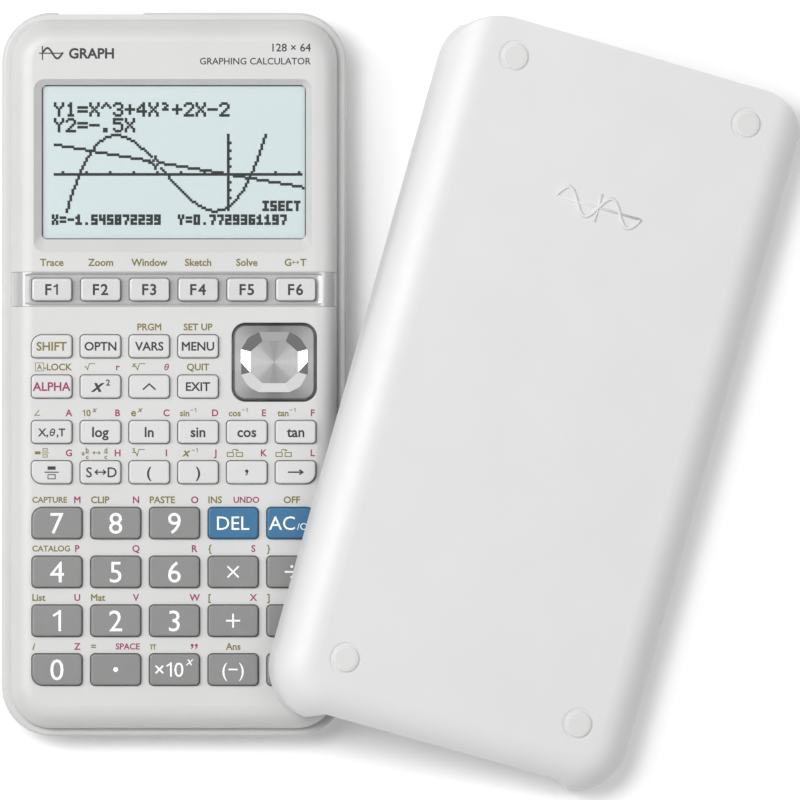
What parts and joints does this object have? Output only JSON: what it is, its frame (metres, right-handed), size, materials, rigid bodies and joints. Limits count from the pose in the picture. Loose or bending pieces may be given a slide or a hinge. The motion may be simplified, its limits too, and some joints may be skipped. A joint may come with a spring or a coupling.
{
  "type": "graphing calculator",
  "caption": "Handheld graphing calculator with a wide display, separate push keys, a rocking cursor pad and a loose slide-on hard cover.",
  "frame": {"origin": "centre of the calculator's flat rear face", "axes": "+Z out of the keys, +Y towards the display and the sockets, +X to the reader's right"},
  "size_m": [0.1933, 0.1888, 0.032],
  "materials": {
    "case_white": "fine matt",
    "gloss_white": "gloss",
    "window_clear": "clear",
    "display_grey": "satin",
    "pad_silver": "brushed and polished",
    "rubber_grey": "matt",
    "board_green": "satin",
    "cell_sleeve": "gloss",
    "contact_steel": "satin",
    "screw_steel": "satin",
    "cover_white": "fine matt",
    "key_light": "satin",
    "key_grey": "satin",
    "key_blue": "satin",
    "ink_dark": "printed",
    "ink_white": "printed",
    "ink_gold": "printed",
    "ink_magenta": "printed"
  },
  "bodies": {
    "calculator": {"front_case": "case_white", "function_key_strip": "gloss_white", "display_window": "window_clear", "display_cell": "display_grey", "key_mat": "rubber_grey", "main_board": "board_green", "rear_case": "case_white", "batteries": "cell_sleeve", "battery_contacts": "contact_steel", "case_screws": "screw_steel"},
    "battery_door": {"battery_cover": "case_white"},
    "hard_cover": {"slide_cover": "cover_white"},
    "pad_pivot": {"cursor_pivot": "rubber_grey"},
    "pad": {"cursor_pad": "pad_silver"},
    "key_f1": {"key_f1": "key_light"},
    "key_f2": {"key_f2": "key_light"},
    "key_f3": {"key_f3": "key_light"},
    "key_f4": {"key_f4": "key_light"},
    "key_f5": {"key_f5": "key_light"},
    "key_f6": {"key_f6": "key_light"},
    "key_shift": {"key_shift": "key_light"},
    "key_option": {"key_option": "key_light"},
    "key_variables": {"key_variables": "key_light"},
    "key_menu": {"key_menu": "key_light"},
    "key_alpha": {"key_alpha": "key_light"},
    "key_square": {"key_square": "key_light"},
    "key_power": {"key_power": "key_light"},
    "key_exit": {"key_exit": "key_light"},
    "key_variable_x": {"key_variable_x": "key_light"},
    "key_log": {"key_log": "key_light"},
    "key_natural_log": {"key_natural_log": "key_light"},
    "key_sine": {"key_sine": "key_light"},
    "key_cosine": {"key_cosine": "key_light"},
    "key_tangent": {"key_tangent": "key_light"},
    "key_fraction": {"key_fraction": "key_light"},
    "key_convert": {"key_convert": "key_light"},
    "key_open_bracket": {"key_open_bracket": "key_light"},
    "key_close_bracket": {"key_close_bracket": "key_light"},
    "key_comma": {"key_comma": "key_light"},
    "key_store": {"key_store": "key_light"},
    "key_seven": {"key_seven": "key_grey"},
    "key_eight": {"key_eight": "key_grey"},
    "key_nine": {"key_nine": "key_grey"},
    "key_delete": {"key_delete": "key_blue"},
    "key_clear": {"key_clear": "key_blue"},
    "key_four": {"key_four": "key_grey"},
    "key_five": {"key_five": "key_grey"},
    "key_six": {"key_six": "key_grey"},
    "key_multiply": {"key_multiply": "key_grey"},
    "key_divide": {"key_divide": "key_grey"},
    "key_one": {"key_one": "key_grey"},
    "key_two": {"key_two": "key_grey"},
    "key_three": {"key_three": "key_grey"},
    "key_plus": {"key_plus": "key_grey"},
    "key_minus": {"key_minus": "key_grey"},
    "key_zero": {"key_zero": "key_grey"},
    "key_point": {"key_point": "key_grey"},
    "key_exponent": {"key_exponent": "key_grey"},
    "key_negate": {"key_negate": "key_grey"},
    "key_execute": {"key_execute": "key_grey"}
  },
  "joints": [
    {"name": "press_f1", "type": "slide", "parent": "calculator", "child": "key_f1", "axis": [0, 0, -1], "range_m": [0, 0.0012], "stiffness_N_per_m": 600, "deforming": ["key_mat"]},
    {"name": "press_f2", "type": "slide", "parent": "calculator", "child": "key_f2", "axis": [0, 0, -1], "range_m": [0, 0.0012], "stiffness_N_per_m": 600},
    {"name": "press_f3", "type": "slide", "parent": "calculator", "child": "key_f3", "axis": [0, 0, -1], "range_m": [0, 0.0012], "stiffness_N_per_m": 600},
    {"name": "press_f4", "type": "slide", "parent": "calculator", "child": "key_f4", "axis": [0, 0, -1], "range_m": [0, 0.0012], "stiffness_N_per_m": 600},
    {"name": "press_f5", "type": "slide", "parent": "calculator", "child": "key_f5", "axis": [0, 0, -1], "range_m": [0, 0.0012], "stiffness_N_per_m": 600},
    {"name": "press_f6", "type": "slide", "parent": "calculator", "child": "key_f6", "axis": [0, 0, -1], "range_m": [0, 0.0012], "stiffness_N_per_m": 600},
    {"name": "press_shift", "type": "slide", "parent": "calculator", "child": "key_shift", "axis": [0, 0, -1], "range_m": [0, 0.0012], "stiffness_N_per_m": 600},
    {"name": "press_option", "type": "slide", "parent": "calculator", "child": "key_option", "axis": [0, 0, -1], "range_m": [0, 0.0012], "stiffness_N_per_m": 600},
    {"name": "press_variables", "type": "slide", "parent": "calculator", "child": "key_variables", "axis": [0, 0, -1], "range_m": [0, 0.0012], "stiffness_N_per_m": 600},
    {"name": "press_menu", "type": "slide", "parent": "calculator", "child": "key_menu", "axis": [0, 0, -1], "range_m": [0, 0.0012], "stiffness_N_per_m": 600},
    {"name": "press_alpha", "type": "slide", "parent": "calculator", "child": "key_alpha", "axis": [0, 0, -1], "range_m": [0, 0.0012], "stiffness_N_per_m": 600},
    {"name": "press_square", "type": "slide", "parent": "calculator", "child": "key_square", "axis": [0, 0, -1], "range_m": [0, 0.0012], "stiffness_N_per_m": 600},
    {"name": "press_power", "type": "slide", "parent": "calculator", "child": "key_power", "axis": [0, 0, -1], "range_m": [0, 0.0012], "stiffness_N_per_m": 600},
    {"name": "press_exit", "type": "slide", "parent": "calculator", "child": "key_exit", "axis": [0, 0, -1], "range_m": [0, 0.0012], "stiffness_N_per_m": 600},
    {"name": "press_variable_x", "type": "slide", "parent": "calculator", "child": "key_variable_x", "axis": [0, 0, -1], "range_m": [0, 0.0012], "stiffness_N_per_m": 600},
    {"name": "press_log", "type": "slide", "parent": "calculator", "child": "key_log", "axis": [0, 0, -1], "range_m": [0, 0.0012], "stiffness_N_per_m": 600},
    {"name": "press_natural_log", "type": "slide", "parent": "calculator", "child": "key_natural_log", "axis": [0, 0, -1], "range_m": [0, 0.0012], "stiffness_N_per_m": 600},
    {"name": "press_sine", "type": "slide", "parent": "calculator", "child": "key_sine", "axis": [0, 0, -1], "range_m": [0, 0.0012], "stiffness_N_per_m": 600},
    {"name": "press_cosine", "type": "slide", "parent": "calculator", "child": "key_cosine", "axis": [0, 0, -1], "range_m": [0, 0.0012], "stiffness_N_per_m": 600},
    {"name": "press_tangent", "type": "slide", "parent": "calculator", "child": "key_tangent", "axis": [0, 0, -1], "range_m": [0, 0.0012], "stiffness_N_per_m": 600},
    {"name": "press_fraction", "type": "slide", "parent": "calculator", "child": "key_fraction", "axis": [0, 0, -1], "range_m": [0, 0.0012], "stiffness_N_per_m": 600},
    {"name": "press_convert", "type": "slide", "parent": "calculator", "child": "key_convert", "axis": [0, 0, -1], "range_m": [0, 0.0012], "stiffness_N_per_m": 600},
    {"name": "press_open_bracket", "type": "slide", "parent": "calculator", "child": "key_open_bracket", "axis": [0, 0, -1], "range_m": [0, 0.0012], "stiffness_N_per_m": 600},
    {"name": "press_close_bracket", "type": "slide", "parent": "calculator", "child": "key_close_bracket", "axis": [0, 0, -1], "range_m": [0, 0.0012], "stiffness_N_per_m": 600},
    {"name": "press_comma", "type": "slide", "parent": "calculator", "child": "key_comma", "axis": [0, 0, -1], "range_m": [0, 0.0012], "stiffness_N_per_m": 600},
    {"name": "press_store", "type": "slide", "parent": "calculator", "child": "key_store", "axis": [0, 0, -1], "range_m": [0, 0.0012], "stiffness_N_per_m": 600},
    {"name": "press_seven", "type": "slide", "parent": "calculator", "child": "key_seven", "axis": [0, 0, -1], "range_m": [0, 0.0012], "stiffness_N_per_m": 600},
    {"name": "press_eight", "type": "slide", "parent": "calculator", "child": "key_eight", "axis": [0, 0, -1], "range_m": [0, 0.0012], "stiffness_N_per_m": 600},
    {"name": "press_nine", "type": "slide", "parent": "calculator", "child": "key_nine", "axis": [0, 0, -1], "range_m": [0, 0.0012], "stiffness_N_per_m": 600},
    {"name": "press_delete", "type": "slide", "parent": "calculator", "child": "key_delete", "axis": [0, 0, -1], "range_m": [0, 0.0012], "stiffness_N_per_m": 600},
    {"name": "press_clear", "type": "slide", "parent": "calculator", "child": "key_clear", "axis": [0, 0, -1], "range_m": [0, 0.0012], "stiffness_N_per_m": 600},
    {"name": "press_four", "type": "slide", "parent": "calculator", "child": "key_four", "axis": [0, 0, -1], "range_m": [0, 0.0012], "stiffness_N_per_m": 600},
    {"name": "press_five", "type": "slide", "parent": "calculator", "child": "key_five", "axis": [0, 0, -1], "range_m": [0, 0.0012], "stiffness_N_per_m": 600},
    {"name": "press_six", "type": "slide", "parent": "calculator", "child": "key_six", "axis": [0, 0, -1], "range_m": [0, 0.0012], "stiffness_N_per_m": 600},
    {"name": "press_multiply", "type": "slide", "parent": "calculator", "child": "key_multiply", "axis": [0, 0, -1], "range_m": [0, 0.0012], "stiffness_N_per_m": 600},
    {"name": "press_divide", "type": "slide", "parent": "calculator", "child": "key_divide", "axis": [0, 0, -1], "range_m": [0, 0.0012], "stiffness_N_per_m": 600},
    {"name": "press_one", "type": "slide", "parent": "calculator", "child": "key_one", "axis": [0, 0, -1], "range_m": [0, 0.0012], "stiffness_N_per_m": 600},
    {"name": "press_two", "type": "slide", "parent": "calculator", "child": "key_two", "axis": [0, 0, -1], "range_m": [0, 0.0012], "stiffness_N_per_m": 600},
    {"name": "press_three", "type": "slide", "parent": "calculator", "child": "key_three", "axis": [0, 0, -1], "range_m": [0, 0.0012], "stiffness_N_per_m": 600},
    {"name": "press_plus", "type": "slide", "parent": "calculator", "child": "key_plus", "axis": [0, 0, -1], "range_m": [0, 0.0012], "stiffness_N_per_m": 600},
    {"name": "press_minus", "type": "slide", "parent": "calculator", "child": "key_minus", "axis": [0, 0, -1], "range_m": [0, 0.0012], "stiffness_N_per_m": 600},
    {"name": "press_zero", "type": "slide", "parent": "calculator", "child": "key_zero", "axis": [0, 0, -1], "range_m": [0, 0.0012], "stiffness_N_per_m": 600},
    {"name": "press_point", "type": "slide", "parent": "calculator", "child": "key_point", "axis": [0, 0, -1], "range_m": [0, 0.0012], "stiffness_N_per_m": 600},
    {"name": "press_exponent", "type": "slide", "parent": "calculator", "child": "key_exponent", "axis": [0, 0, -1], "range_m": [0, 0.0012], "stiffness_N_per_m": 600},
    {"name": "press_negate", "type": "slide", "parent": "calculator", "child": "key_negate", "axis": [0, 0, -1], "range_m": [0, 0.0012], "stiffness_N_per_m": 600},
    {"name": "press_execute", "type": "slide", "parent": "calculator", "child": "key_execute", "axis": [0, 0, -1], "range_m": [0, 0.0012], "stiffness_N_per_m": 600},
    {"name": "pad_left_right", "type": "hinge", "parent": "calculator", "child": "pad_pivot", "pos_m": [0.02435, 0.00275, 0.0126], "axis": [0, 1, 0], "range_deg": [-2.5, 2.5], "stiffness_Nm_per_rad": 0.12},
    {"name": "pad_up_down", "type": "hinge", "parent": "pad_pivot", "child": "pad", "pos_m": [0.02435, 0.00275, 0.0126], "axis": [1, 0, 0], "range_deg": [-2.5, 2.5], "stiffness_Nm_per_rad": 0.12},
    {"name": "battery_door_open", "type": "hinge", "parent": "calculator", "child": "battery_door", "pos_m": [0, 0.0758, 0.00015], "axis": [1, 0, 0], "range_deg": [0, 50]},
    {"name": "cover_lift", "type": "slide", "parent": "calculator", "child": "hard_cover", "axis": [0, 0, 1], "range_m": [0, 0.08]}
  ]
}
